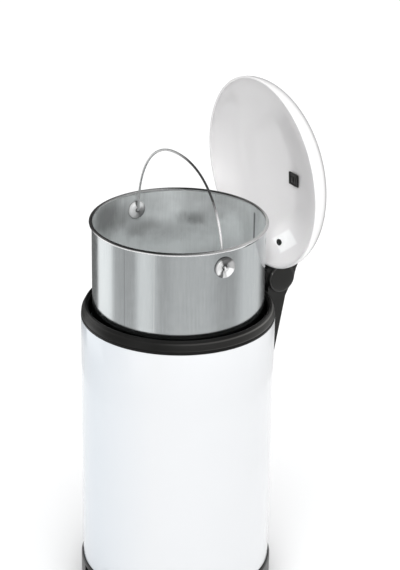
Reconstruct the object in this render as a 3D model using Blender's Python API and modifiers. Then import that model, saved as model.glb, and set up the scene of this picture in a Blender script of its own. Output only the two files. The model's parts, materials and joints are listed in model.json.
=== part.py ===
"""Pedal trash can: a white steel cylinder with a domed lid, a lift-out steel bucket and a pedal linkage.

Metres, +Z up. The floor is z = 0, the body's axis is x = y = 0, the pedal is at -Y and the lid's
hinge at +Y. The lid stands open on its stop, and the bucket is lifted out to the height that goes with it.
"""

from math import asin, cos, pi, radians, sin, sqrt

import bmesh
import bpy
from mathutils import Matrix, Vector

GAP = 0.0003  # between pieces that touch
STEPS = 60  # round the large turned pieces
SMALL_STEPS = 24

# Body
BODY_R = 0.146
BODY_WALL = 0.001
BODY_TOP = 0.460
RING_TOP = 0.0525  # the body's lower edge stands here
RING_R = 0.149
RING_IN_R = 0.1435
SHELF_IN_R = 0.132
SHELF_Z = 0.0475
SHELF_T = 0.003
PLATE_T = 0.0035
COLLAR_IN_R = 0.1345
COLLAR_H = 0.020  # above the body's upper edge

# Hinge and lid
HINGE_Y = 0.1675
HINGE_Z = BODY_TOP + 0.033
LID_OPEN = radians(87.1)
LID_PLANE = 0.015  # closed rim above the body's upper edge
LID_R = 0.1476
LID_DEPTH = 0.064
LID_WALL = 0.001
LIP_W = 0.0034
LIP_H = 0.0022
CAP_R = 0.0232
CHEEK_R = 0.0215
CHEEK_IN = 0.0125  # inner face of each cheek, from the middle
CHEEK_OUT = 0.0225
CAP_OUT = 0.0295
BRACKET_BOTTOM = BODY_TOP - 0.147
BRACKET_FOOT_Y = 0.1500  # the rear slope at the bracket's foot
BRACKET_REAR_Y = 0.1785  # and at the body's upper edge
BRACKET_WALL = 0.003
SCREW_HOLE_R = 0.0023
SCREW_PLACES = [(x, BODY_TOP + z) for z in (-0.030, -0.104) for x in (-0.0175, 0.0175)]
SCREW_UPPER_END = 0.1560  # how far back the upper and lower screws reach
SCREW_LOWER_END = 0.1500
SCREW_HEAD_R = 0.0040
SCREW_R = 0.0015
PIN_R = 0.003
HUB_R = 0.0065
CRANK = 0.011  # from the hinge's axis to the crank's nose
NOSE_R = 0.003
CRANK_HALF = 0.006  # half the crank's width
PLUG_AT = 0.121  # the lid screw, from the lid's middle towards the hinge
PLUG_R = 0.0052
CLIP_AT = 0.024
CLIP_HALF_X = 0.0115
CLIP_HALF_Y = 0.0098

# Lift rod and pedal
ROD_R = 0.0025
ROD_Y = 0.1375  # inside the body
ROD_HEAD_Y = 0.157  # inside the hinge bracket
GUIDES = [("rod_guide_lower", 0.110), ("rod_guide_upper", 0.300)]  # name and height
ROD_TRAVEL = 2 * CRANK * sin(LID_OPEN / 2)
PIVOT_Y = 0.048
PIVOT_Z = 0.028
PEDAL_SWING = 2 * asin(ROD_TRAVEL / 2 / (ROD_Y - PIVOT_Y))
LEVER_T = 0.003
LEVER_HALF_X = 0.0240  # under the foot
PAD_HALF_X = 0.033
EYE_X = 0.0240  # the pivot brackets' distance from the middle
PEDAL_TIP_Y = -0.2045

# Bucket
RIM_TOP = BODY_TOP + 0.153
BUCKET_R = 0.129
BUCKET_WALL = 0.0007
BUCKET_H = 0.3715
BEAD_R = 0.0027
BEAD_AT = 0.1303
EAR_DROP = 0.029  # the ears' axis below the rim's top
EAR_R = 0.0160
EAR_IN_R = 0.0146  # the boss inside the wall
EAR_IN_X = 0.1270  # its back face
WIRE_R = 0.00175
BAIL_W = 0.1215
BAIL_H = 0.130
BAIL_POWER = 2 / 2.2

WHITE = ("white_enamel", (0.86, 0.87, 0.88), 0.18, 0.0)
BLACK = ("black_plastic", (0.025, 0.025, 0.026), 0.45, 0.0)
RUBBER = ("pedal_rubber", (0.03, 0.03, 0.03), 0.8, 0.0)
STEEL = ("zinc_steel", (0.55, 0.57, 0.57), 0.35, 1.0)
BRIGHT = ("bright_steel", (0.72, 0.73, 0.74), 0.15, 1.0)


def clear_scene():
    for item in list(bpy.data.objects):
        bpy.data.objects.remove(item, do_unlink=True)


def collection(name):
    made = bpy.data.collections.new(name)
    bpy.context.scene.collection.children.link(made)
    return made


def empty(name, at, turn_x=0.0, parent=None):
    """An empty on a moving piece's axis, placed in the world whatever its parent is."""
    item = bpy.data.objects.new(name, None)
    parts.objects.link(item)
    item.empty_display_size = 0.02
    item.parent = parent
    base = parent.matrix_world if parent else Matrix()
    item.matrix_world = Matrix.Translation(at) @ Matrix.Rotation(turn_x, 4, "X")
    item.matrix_local = base.inverted() @ item.matrix_world
    bpy.context.view_layer.update()
    return item


def material(name, finish):
    made = bpy.data.materials.new(f"{name}_{finish[0]}")
    made.use_nodes = True
    shader = made.node_tree.nodes["Principled BSDF"]
    shader.inputs["Base Color"].default_value = (*finish[1], 1.0)
    shader.inputs["Roughness"].default_value = finish[2]
    shader.inputs["Metallic"].default_value = finish[3]
    made.diffuse_color = (*finish[1], 1.0)
    return made


def piece(name, mesh, finish, parent=None):
    """One node of the model, with its own material, smooth where its faces nearly line up."""
    item = bpy.data.objects.new(name, mesh)
    mesh.name = name
    mesh.shade_smooth()
    mesh.set_sharp_from_angle(angle=radians(35))
    mesh.materials.clear()
    mesh.materials.append(material(name, finish))
    parts.objects.link(item)
    item.parent = parent
    return item


def cutter(name, mesh, parent=None):
    item = bpy.data.objects.new(name, mesh)
    cutters.objects.link(item)
    item.parent = parent
    item.hide_render = True
    item.display_type = "WIRE"
    return item


def boolean(item, tool, operation="DIFFERENCE"):
    step = item.modifiers.new(tool.name, "BOOLEAN")
    step.object = tool
    step.operation = operation
    step.solver = "EXACT"


def mesh_of(build):
    """A mesh from a function that fills a bmesh."""
    shape = bmesh.new()
    build(shape)
    mesh = bpy.data.meshes.new("shape")
    shape.to_mesh(mesh)
    shape.free()
    return mesh


def box(low, high):
    """A box between two corners."""
    size = [b - a for a, b in zip(low, high)]
    middle = [(a + b) / 2 for a, b in zip(low, high)]
    place = Matrix.Translation(middle) @ Matrix.Diagonal((*size, 1.0))
    return mesh_of(lambda shape: bmesh.ops.create_cube(shape, size=1.0, matrix=place))


def rod_x(radius, low_x, high_x, y=0.0, z=0.0, steps=SMALL_STEPS):
    """A cylinder along X."""
    place = Matrix.Translation(((low_x + high_x) / 2, y, z)) @ Matrix.Rotation(pi / 2, 4, "Y")
    return mesh_of(
        lambda shape: bmesh.ops.create_cone(
            shape, cap_ends=True, segments=steps, radius1=radius, radius2=radius,
            depth=high_x - low_x, matrix=place,
        )
    )


def rod_y(radius, low_y, high_y, x=0.0, z=0.0, steps=16):
    """A cylinder along Y."""
    place = Matrix.Translation((x, (low_y + high_y) / 2, z)) @ Matrix.Rotation(pi / 2, 4, "X")
    return mesh_of(
        lambda shape: bmesh.ops.create_cone(
            shape, cap_ends=True, segments=steps, radius1=radius, radius2=radius,
            depth=high_y - low_y, matrix=place,
        )
    )


def rod_z(radius, low_z, high_z, x=0.0, y=0.0, steps=SMALL_STEPS):
    """A cylinder along Z."""
    place = Matrix.Translation((x, y, (low_z + high_z) / 2))
    return mesh_of(
        lambda shape: bmesh.ops.create_cone(
            shape, cap_ends=True, segments=steps, radius1=radius, radius2=radius,
            depth=high_z - low_z, matrix=place,
        )
    )


def profile_mesh(points):
    """A closed outline in the XZ plane, as edges for a Screw modifier."""

    def build(shape):
        corners = [shape.verts.new((r, 0.0, z)) for r, z in points]
        for first, second in zip(corners, corners[1:] + corners[:1]):
            shape.edges.new((first, second))

    return mesh_of(build)


def open_profile_mesh(points):
    """An outline that starts and ends on the axis, for a solid disc or dome."""

    def build(shape):
        corners = [shape.verts.new((r, 0.0, z)) for r, z in points]
        for first, second in zip(corners, corners[1:]):
            shape.edges.new((first, second))

    return mesh_of(build)


def screw(item, steps=STEPS):
    turn = item.modifiers.new("turn", "SCREW")
    turn.axis = "Z"
    turn.angle = 2 * pi
    turn.steps = steps
    turn.render_steps = steps
    turn.use_merge_vertices = True
    turn.merge_threshold = 0.00005
    turn.use_smooth_shade = True


def turned_mesh(points, steps=STEPS, closed=True, place=None):
    """The finished mesh of a turned shape, moved to its place."""
    helper = bpy.data.objects.new("helper", profile_mesh(points) if closed else open_profile_mesh(points))
    cutters.objects.link(helper)
    screw(helper, steps)
    bpy.context.view_layer.update()
    graph = bpy.context.evaluated_depsgraph_get()
    mesh = bpy.data.meshes.new_from_object(helper.evaluated_get(graph))
    bpy.data.objects.remove(helper, do_unlink=True)
    if place:
        mesh.transform(place)
    return mesh


def curve_mesh(curve, merge=0.000001):
    """A curve as a welded mesh."""
    helper = bpy.data.objects.new("helper", curve)
    cutters.objects.link(helper)
    bpy.context.view_layer.update()
    graph = bpy.context.evaluated_depsgraph_get()
    mesh = bpy.data.meshes.new_from_object(helper.evaluated_get(graph))
    bpy.data.objects.remove(helper, do_unlink=True)
    shape = bmesh.new()
    shape.from_mesh(mesh)
    bmesh.ops.remove_doubles(shape, verts=shape.verts, dist=merge)
    shape.to_mesh(mesh)
    shape.free()
    return mesh


def outline_mesh(points, half, across="Z", at=0.0):
    """A flat outline given half thickness. Across X its points are (y, z), across Z they are (x, y)."""
    curve = bpy.data.curves.new("outline", "CURVE")
    curve.dimensions = "2D"
    curve.fill_mode = "BOTH"
    curve.extrude = half
    line = curve.splines.new("POLY")
    line.points.add(len(points) - 1)
    for point, (u, v) in zip(line.points, points):
        point.co = (u, v, 0.0, 1.0)
    line.use_cyclic_u = True
    mesh = curve_mesh(curve)
    if across == "X":
        mesh.transform(Matrix(((0, 0, 1, at), (1, 0, 0, 0), (0, 1, 0, 0), (0, 0, 0, 1))))
    else:
        mesh.transform(Matrix.Translation((0, 0, at)))
    return mesh


def wire_mesh(points, radius):
    curve = bpy.data.curves.new("wire", "CURVE")
    curve.dimensions = "3D"
    curve.bevel_depth = radius
    curve.bevel_resolution = 2
    curve.use_fill_caps = True
    line = curve.splines.new("POLY")
    line.points.add(len(points) - 1)
    for point, place in zip(line.points, points):
        point.co = (*place, 1.0)
    return curve_mesh(curve)


def arc(centre, radius, start, end, count):
    """Points on an arc in a plane, with both ends, angles in degrees."""
    turns = [radians(start + (end - start) * k / (count - 1)) for k in range(count)]
    return [(centre[0] + radius * cos(t), centre[1] + radius * sin(t)) for t in turns]


# Base


def base_ring():
    """The plastic foot: outer wall, a shelf for the bucket's seat and a spigot inside the body."""
    spigot = BODY_R - BODY_WALL - GAP
    outline = [
        (spigot, RING_TOP + 0.0080), (spigot, RING_TOP - GAP), (BODY_R + 0.0012, RING_TOP - GAP),
        (RING_R, RING_TOP - 0.0050), (RING_R, 0.0024), (RING_R - 0.0022, 0.0),
        (RING_IN_R, 0.0), (RING_IN_R, SHELF_Z), (SHELF_IN_R, SHELF_Z), (SHELF_IN_R, SHELF_Z + SHELF_T),
        (spigot - 0.0022, SHELF_Z + SHELF_T), (spigot - 0.0022, RING_TOP + 0.0080),
    ]
    ring = piece("base_ring", profile_mesh(outline), BLACK)
    screw(ring)
    boolean(ring, cutter("pedal_slot", box((-0.032, -0.2, 0.0065), (0.032, -0.12, 0.0468))))
    boolean(ring, cutter("rod_notch", box((-0.004, 0.12, 0.045), (0.004, 0.1422, 0.052))))


def base_plate():
    """The floor of the base, which stands on the ground."""
    edge = RING_IN_R - GAP
    outline = [(0.0, PLATE_T), (edge - 0.001, PLATE_T), (edge, PLATE_T - 0.001), (edge, 0.0), (0.0, 0.0)]
    piece("base_plate", turned_mesh(outline, closed=False), BLACK)


def bucket_seat():
    """The steel shelf that the bucket stands on, over the pedal's lever."""
    low = SHELF_Z + SHELF_T + GAP
    edge = BODY_R - BODY_WALL - 0.0028
    outline = [(0.0, low + 0.0012), (edge, low + 0.0012), (edge, low), (0.0, low)]
    seat = piece("bucket_seat", turned_mesh(outline, closed=False), STEEL)
    boolean(seat, cutter("seat_notch", box((-0.0045, 0.13, 0.045), (0.0045, 0.15, 0.056))))


# Body


def body_shell():
    low, high = RING_TOP, BODY_TOP
    inner = BODY_R - BODY_WALL
    outline = [(BODY_R, high), (BODY_R, low), (inner, low), (inner, high)]
    shell = piece("body_shell", profile_mesh(outline), WHITE)
    screw(shell)
    boolean(shell, cutter("rod_slot", box((-0.004, 0.13, BODY_TOP - 0.098), (0.004, 0.16, BODY_TOP - 0.052))))
    for k, (x, z) in enumerate(SCREW_PLACES):
        hole = rod_y(SCREW_HOLE_R, 0.13, 0.16, x, z)
        boolean(shell, cutter(f"screw_hole_{k}", hole))


def top_collar():
    """The plastic edge: a rounded rim over the steel's edge, with a skirt down inside."""
    z = BODY_TOP
    skirt = BODY_R - BODY_WALL - GAP
    outline = [
        (0.1402, z + COLLAR_H), (0.1424, z + 0.0180), (0.1438, z + 0.0145), (0.1456, z + 0.0100),
        (0.1460, z + 0.0068), (0.1460, z + GAP), (skirt, z + GAP), (skirt, z - 0.0120),
        (COLLAR_IN_R, z - 0.0120), (COLLAR_IN_R, z + 0.0175), (0.1366, z + COLLAR_H),
    ]
    collar = piece("top_collar", profile_mesh(outline), BLACK)
    screw(collar)


# Hinge bracket


def bracket_rear(z):
    """The bracket's rear slope: 32 mm deep behind the body at its upper edge, 4 mm at its foot."""
    share = (z - BRACKET_BOTTOM) / (BODY_TOP - BRACKET_BOTTOM)
    return BRACKET_FOOT_Y + (BRACKET_REAR_Y - BRACKET_FOOT_Y) * share


def screw_end(z):
    """How far back the screw at a height reaches."""
    return SCREW_UPPER_END if z > BODY_TOP - 0.06 else SCREW_LOWER_END


def hinge_bracket():
    """A wedge on the body's back whose two cheeks carry the hinge pin; the lift rod runs inside it."""
    top = arc((HINGE_Y, HINGE_Z), CHEEK_R, -25, 180, 22)
    front = [(0.1445, HINGE_Z - 0.006), (0.1400, BODY_TOP + 0.004), (0.1400, BRACKET_BOTTOM)]
    rear = [(0.1492, BRACKET_BOTTOM), (bracket_rear(BRACKET_BOTTOM) + 0.0003, BRACKET_BOTTOM + 0.001)]
    rear += [(bracket_rear(z), z) for z in (BODY_TOP - 0.066, BODY_TOP)]
    rear += [(bracket_rear(BODY_TOP) + 0.0060, BODY_TOP + 0.0120)]
    outline = top + front + rear
    bracket = piece("hinge_bracket", outline_mesh(outline, CHEEK_OUT, "X"), BLACK)
    body = turned_mesh(
        [(0.0, 0.7), (BODY_R + GAP, 0.7), (BODY_R + GAP, 0.1), (0.0, 0.1)], closed=False
    )
    boolean(bracket, cutter("body_room", body))
    room = LID_R + 0.0008  # the closed lid's edge comes down in front of the cheeks
    above = BODY_TOP + 0.0125
    lid = turned_mesh([(0.0, 0.7), (room, 0.7), (room, above), (0.0, above)], closed=False)
    boolean(bracket, cutter("lid_room", lid))
    hollow_low = BODY_TOP - 0.100
    hollow_rear = bracket_rear(BODY_TOP) - BRACKET_WALL
    hollow = [
        (0.135, BODY_TOP + 0.10), (0.135, hollow_low), (bracket_rear(hollow_low) - BRACKET_WALL, hollow_low),
        (hollow_rear, BODY_TOP), (hollow_rear, BODY_TOP + 0.006), (0.200, BODY_TOP + 0.006),
        (0.200, BODY_TOP + 0.10),
    ]
    boolean(bracket, cutter("bracket_hollow", outline_mesh(hollow, CHEEK_IN, "X")))
    boolean(bracket, cutter("bracket_pin_hole", rod_x(PIN_R + GAP, -0.03, 0.03, HINGE_Y, HINGE_Z)))
    for k, (x, z) in enumerate(SCREW_PLACES):
        hole = rod_y(SCREW_R + 0.0004, 0.13, screw_end(z) + 0.001, x, z)
        boolean(bracket, cutter(f"bracket_screw_hole_{k}", hole))


def bracket_screws():
    """Four screws from inside the body: a low head and a shank into the bracket."""
    names = ["upper_left", "upper_right", "lower_left", "lower_right"]
    for name, (x, z) in zip(names, SCREW_PLACES):
        inner = sqrt((BODY_R - BODY_WALL) ** 2 - (abs(x) + SCREW_HEAD_R) ** 2)
        shank = screw_end(z) - inner + GAP
        outline = [
            (0.0, shank), (SCREW_R, shank), (SCREW_R, 0.0), (SCREW_HEAD_R, 0.0), (SCREW_HEAD_R, -0.0012),
            (0.0028, -0.0022), (0.0, -0.0024),
        ]
        place = Matrix.Translation((x, inner - GAP, z)) @ Matrix.Rotation(-pi / 2, 4, "X")
        piece(f"bracket_screw_{name}", turned_mesh(outline, 16, False, place), BRIGHT)


def hinge_pin():
    pin = rod_x(PIN_R - 0.00005, -CHEEK_OUT, CHEEK_OUT, HINGE_Y, HINGE_Z)
    piece("hinge_pin", pin, BRIGHT)


def hinge_caps():
    """Round covers on the cheeks' outer faces, slightly crowned."""
    thick = CAP_OUT - CHEEK_OUT - GAP
    outline = [
        (0.0, thick), (CAP_R - 0.0040, thick), (CAP_R - 0.0010, thick - 0.0012), (CAP_R, thick - 0.0034),
        (CAP_R, 0.0), (0.0, 0.0),
    ]
    for name, side in (("hinge_cap_left", -1), ("hinge_cap_right", 1)):
        place = Matrix.Translation((side * (CHEEK_OUT + GAP), HINGE_Y, HINGE_Z))
        place = place @ Matrix.Rotation(side * pi / 2, 4, "Y")
        piece(name, turned_mesh(outline, 40, False, place), BLACK)


# Lid, modelled closed and relative to its hinge, then turned open by its empty


def dome(radius):
    """Height of the lid's outer surface above its rim at a distance from its middle."""
    return LID_DEPTH * sqrt(1 - (radius / LID_R) ** 2)


def dome_inside(radius):
    """Height at which a piece just clears the lid's inner surface, at a distance from its middle."""
    return (LID_DEPTH - LID_WALL) * sqrt(1 - (radius / (LID_R - LID_WALL)) ** 2) - GAP


def lid_place():
    """From the lid's own frame, with its rim's middle at the origin, to the hinge's frame."""
    return Matrix.Translation((0, -HINGE_Y, BODY_TOP + LID_PLANE - HINGE_Z))


def lid_shell(hinge):
    """A spun dome with its edge folded inwards into a lip."""
    count = 12
    turns = [pi / 2 * k / (count - 1) for k in range(count)]
    outer = [(LID_R * sin(t), LID_DEPTH * cos(t)) for t in turns]
    inner_r, inner_d = LID_R - LID_WALL, LID_DEPTH - LID_WALL
    inner = [(inner_r * sin(t), inner_d * cos(t)) for t in turns]
    inner = [point for point in inner if point[1] > LIP_H + 0.002]
    lip = [(LID_R - LIP_W, 0.0), (LID_R - LIP_W, LIP_H)]
    lip += [(sqrt(1 - (LIP_H / inner_d) ** 2) * inner_r, LIP_H)]
    outline = outer + lip + inner[::-1]
    shell = piece("lid_shell", turned_mesh(outline, STEPS, False, lid_place()), WHITE, hinge)
    lid_at = -HINGE_Y
    across = 0.0102
    slot = box((-across, lid_at + CLIP_AT - 0.0087, 0.01), (across, lid_at + CLIP_AT + 0.0087, 0.06))
    boolean(shell, cutter("clip_hole", slot, hinge))
    hole = rod_z(0.0024, -0.02, 0.06, 0.0, lid_at + PLUG_AT, 20)
    boolean(shell, cutter("plug_hole", hole, hinge))


def arm_top():
    """The arm's upper edge from the hinge to the lid's middle, as (y, z) from the hinge's axis."""
    return [
        (0.0060, 0.0245), (-0.0010, 0.0262), (-0.0080, 0.0285), (-0.0165, 0.0330), (-0.0260, 0.0384),
        (-0.0380, 0.0432), (-0.0520, 0.0463), (-0.0700, 0.0480), (-0.0900, 0.0487), (-0.1150, 0.0488),
        (-0.1400, 0.0484), (-0.1560, 0.0478), (-0.1590, 0.0466),
    ]


def arm_half(y):
    """Half the arm's width at a distance from the hinge: widest over the lid's edge, narrow at its end."""
    if y > -0.02:
        return 0.0240
    share = min(1.0, (-0.02 - y) / 0.139)
    return 0.0240 - 0.0115 * share


def lid_arm(hinge):
    """The moulded arm: a hub on the pin with a crank for the rod, and a long arm that follows the lid."""
    top = arm_top()
    under = [(-0.1590, 0.0400), (-0.0300, -0.0050), (-0.0230, -0.0050)]
    under += arc((0, 0), 0.0244, 176, 76, 15)
    arm_mesh = outline_mesh(top + under, 1.0, "X")
    for vertex in arm_mesh.vertices:
        vertex.co.x *= arm_half(vertex.co.y)
    arm = piece("lid_arm", arm_mesh, BLACK, hinge)
    hub = rod_x(HUB_R, -CHEEK_IN + 0.0005, CHEEK_IN - 0.0005)
    boolean(arm, cutter("arm_hub", hub, hinge), "UNION")
    web = [(-0.0045, 0.0), (-0.0120, 0.0300), (0.0050, 0.0255), (0.0045, 0.0)]
    boolean(arm, cutter("arm_web", outline_mesh(web, 0.0110, "X"), hinge), "UNION")
    closed = pi + (LID_OPEN / 2)  # the crank's direction with the lid closed
    ahead = Vector((cos(closed), sin(closed)))
    side = Vector((-ahead.y, ahead.x)) * 0.002
    tip = ahead * CRANK
    crank = [tuple(point) for point in (side, tip + side, tip - side, -side)]
    boolean(arm, cutter("arm_crank", outline_mesh(crank, CRANK_HALF, "X"), hinge), "UNION")
    nose = rod_x(NOSE_R, -CRANK_HALF, CRANK_HALF, tip.x, tip.y, 24)
    boolean(arm, cutter("arm_nose", nose, hinge), "UNION")
    count = 20
    turns = [pi / 2 * k / (count - 1) for k in range(count)]
    grown = [((LID_R + GAP) * sin(t), (LID_DEPTH + GAP) * cos(t)) for t in turns]
    grown += [(LID_R + GAP, -0.03), (0.0, -0.03)]
    boolean(arm, cutter("dome_room", turned_mesh(grown, STEPS, False, lid_place()), hinge))
    boolean(arm, cutter("arm_pin_hole", rod_x(PIN_R + 0.0002, -0.03, 0.03), hinge))
    lid_top = dome(PLUG_AT) + LID_PLANE + BODY_TOP - HINGE_Z
    shank = rod_z(SCREW_R + 0.0004, -0.02, lid_top + 0.0095, 0.0, PLUG_AT - HINGE_Y, 20)
    boolean(arm, cutter("arm_screw_hole", shank, hinge))
    slot = box(
        (-0.0078, CLIP_AT - HINGE_Y - 0.0063, 0.02), (0.0078, CLIP_AT - HINGE_Y + 0.0063, 0.0462)
    )
    boolean(arm, cutter("arm_clip_hole", slot, hinge))


def lid_screw(hinge):
    """The screw's low round head inside the lid and its shank up into the arm."""
    inside = dome_inside(PLUG_AT + PLUG_R)
    shank = dome(PLUG_AT) + 0.0090 - inside
    outline = [
        (0.0, shank), (SCREW_R, shank), (SCREW_R, 0.0), (PLUG_R, 0.0), (PLUG_R, -0.0014), (0.0036, -0.0026),
        (0.0014, -0.0030), (0.0, -0.0030),
    ]
    place = lid_place() @ Matrix.Translation((0, PLUG_AT, inside))
    piece("lid_arm_screw", turned_mesh(outline, 24, False, place), BLACK, hinge)


def lid_clip(hinge):
    """The catch that snaps up through the lid into the arm's end: a flat head and a shank."""
    corner = sqrt(CLIP_HALF_X**2 + (CLIP_AT + CLIP_HALF_Y) ** 2)
    base = BODY_TOP + LID_PLANE - HINGE_Z + dome_inside(corner)
    y = CLIP_AT - HINGE_Y
    head = box((-CLIP_HALF_X, y - CLIP_HALF_Y, base - 0.0030), (CLIP_HALF_X, y + CLIP_HALF_Y, base))
    clip = piece("lid_clip", head, BLACK, hinge)
    shank = box((-0.0075, y - 0.0060, base - 0.0010), (0.0075, y + 0.0060, 0.0455))
    boolean(clip, cutter("clip_shank", shank, hinge), "UNION")
    hollow = box((-0.0060, y - 0.0045, base - 0.0100), (0.0060, y + 0.0045, 0.0420))
    boolean(clip, cutter("clip_hollow", hollow, hinge))


# Lift rod


def lift_rod():
    """A bent steel rod, from the pedal lever's fork up and out of the body to the lid's crank."""
    head = HINGE_Z + CRANK * sin(LID_OPEN / 2) - NOSE_R - 0.0008
    lever_end = PIVOT_Z + (ROD_Y - PIVOT_Y) * sin(PEDAL_SWING / 2)
    low, high = BODY_TOP - 0.085, BODY_TOP - 0.045
    bend = []
    for k in range(13):  # a smooth step from inside the body to inside the bracket
        share = k / 12
        ease = share * share * (3 - 2 * share)
        bend.append((0.0, ROD_Y + (ROD_HEAD_Y - ROD_Y) * ease, low + (high - low) * share))
    route = [(0.0, ROD_Y, lever_end - 0.008)]
    route += [(0.0, ROD_Y, lever_end + 0.02)] + bend + [(0.0, ROD_HEAD_Y, head)]
    piece("lift_rod", wire_mesh(route, ROD_R), BRIGHT)
    nut_low = lever_end + 0.0024
    nut = piece("rod_nut", rod_z(0.0052, nut_low, nut_low + 0.005, 0.0, ROD_Y, 6), BRIGHT)
    boolean(nut, cutter("nut_hole", rod_z(ROD_R + 0.00015, 0.0, 0.2, 0.0, ROD_Y, 24)))


def rod_guides():
    """Two moulded eyes on the body's inner wall that keep the rod upright."""
    for name, z in GUIDES:
        outline = [(-0.010, 0.1442), (-0.0105, 0.1405), (-0.0065, 0.1338)]
        outline += [(-x, y) for x, y in outline[::-1]]
        guide = piece(name, outline_mesh(outline[::-1], 0.006, "Z", z), BLACK)
        boolean(guide, cutter(f"{name}_eye", rod_z(ROD_R + 0.0004, z - 0.02, z + 0.02, 0.0, ROD_Y, 24)))


# Pedal, modelled level and relative to its pivot, then tilted by its empty


def pedal_lever(pivot):
    """A flat steel lever: broad under the foot, with a barrel on the pivot and a fork at the rod."""
    half_plan = [
        (LEVER_HALF_X, PEDAL_TIP_Y + 0.0060), (LEVER_HALF_X, -0.120), (0.0180, -0.085), (0.0180, 0.065),
        (0.0095, 0.095), (0.0095, 0.1420), (0.0038, 0.1425), (0.0038, 0.1325), (0.0, 0.1310),
    ]
    half_plan = [(x, y - PIVOT_Y) for x, y in half_plan]
    plan = half_plan + [(-x, y) for x, y in half_plan[-2::-1]]
    lever = piece("pedal_lever", outline_mesh(plan, LEVER_T / 2), STEEL, pivot)
    boolean(lever, cutter("lever_barrel", rod_x(0.0058, -0.0215, 0.0215), pivot), "UNION")
    boolean(lever, cutter("lever_pin_hole", rod_x(PIN_R + 0.0003, -0.03, 0.03), pivot))


def pedal_pad(pivot):
    """The foot plate, a ribbed rubber sleeve pushed on to the lever's end."""
    y_low, y_high = PEDAL_TIP_Y - PIVOT_Y, PEDAL_TIP_Y + 0.048 - PIVOT_Y
    corner = 0.012
    middle = PAD_HALF_X - corner
    plan = arc((middle, y_low + corner), corner, -90, 0, 6) + [(PAD_HALF_X, y_high), (-PAD_HALF_X, y_high)]
    plan += arc((-middle, y_low + corner), corner, 180, 270, 6)
    pad = piece("pedal_pad", outline_mesh(plan, 0.0034), RUBBER, pivot)
    side, high = LEVER_HALF_X + GAP, LEVER_T / 2 + GAP
    pocket = box((-side, y_low + 0.0057, -high), (side, y_high + 0.01, high))
    boolean(pad, cutter("pad_pocket", pocket, pivot))
    for k in range(6):
        y = y_low + 0.010 + 0.006 * k
        groove = box((-0.027, y - 0.0008, 0.0026), (0.027, y + 0.0008, 0.0060))
        boolean(pad, cutter(f"pad_groove_{k}", groove, pivot))


def pedal_pivot():
    piece("pedal_pivot_pin", rod_x(PIN_R, -0.0300, 0.0300, PIVOT_Y, PIVOT_Z), BRIGHT)
    for side, name in ((-1, "left"), (1, "right")):
        foot = PLATE_T + GAP
        outline = [(PIVOT_Y - 0.013, foot), (PIVOT_Y + 0.013, foot), (PIVOT_Y + 0.013, foot + 0.004)]
        outline += arc((PIVOT_Y, PIVOT_Z), 0.0085, 0, 180, 13) + [(PIVOT_Y - 0.013, foot + 0.004)]
        bracket = piece(f"pivot_bracket_{name}", outline_mesh(outline, 0.0015, "X", side * EYE_X), STEEL)
        low_x, high_x = sorted((side * 0.0250, side * 0.0370))
        flange = box((low_x, PIVOT_Y - 0.013, foot), (high_x, PIVOT_Y + 0.013, foot + 0.0025))
        boolean(bracket, cutter(f"{name}_flange", flange), "UNION")
        hole = rod_x(PIN_R + GAP, side * EYE_X - 0.01, side * EYE_X + 0.01, PIVOT_Y, PIVOT_Z)
        boolean(bracket, cutter(f"{name}_pin_hole", hole))
        ring = [(0.0058, 0.0008), (0.0058, -0.0008), (PIN_R + 0.00015, -0.0008), (PIN_R + 0.00015, 0.0008)]
        place = Matrix.Translation((side * 0.0272, PIVOT_Y, PIVOT_Z)) @ Matrix.Rotation(pi / 2, 4, "Y")
        piece(f"pivot_clip_{name}", turned_mesh(ring, 24, True, place), BRIGHT)


# Bucket, modelled with its rim's top at z = 0, then set to its height by its empty


def bucket_shell(lift):
    inner = BUCKET_R - BUCKET_WALL
    high, low = -2 * BEAD_R - GAP, -BUCKET_H
    outline = [(BUCKET_R, high), (BUCKET_R, low), (inner, low), (inner, high)]
    shell = piece("bucket_shell", profile_mesh(outline), STEEL, lift)
    screw(shell)
    hole = rod_x(WIRE_R + 0.0009, -0.2, 0.2, 0.0, -EAR_DROP, 20)
    boolean(shell, cutter("ear_holes", hole, lift))


def bucket_rim(lift):
    """The rolled edge over its wire, a bead round the bucket's mouth."""
    bead = [
        (BEAD_AT + BEAD_R * cos(t), -BEAD_R + BEAD_R * sin(t))
        for t in [-2 * pi * k / 8 + pi / 2 for k in range(8)]
    ]
    rim = piece("bucket_rim", profile_mesh(bead), BRIGHT, lift)
    screw(rim)


def bucket_bottom(lift):
    edge = BUCKET_R - BUCKET_WALL - GAP
    z = -BUCKET_H
    outline = [
        (0.0, z + 0.0068), (edge - 0.006, z + 0.0068), (edge - 0.003, z + 0.0078), (edge, z + 0.0078),
        (edge, z + 0.0005), (edge - 0.0008, z + 0.0005), (edge - 0.0008, z + 0.0058), (0.0, z + 0.0058),
    ]
    piece("bucket_bottom", turned_mesh(outline, STEPS, False), STEEL, lift)


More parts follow.
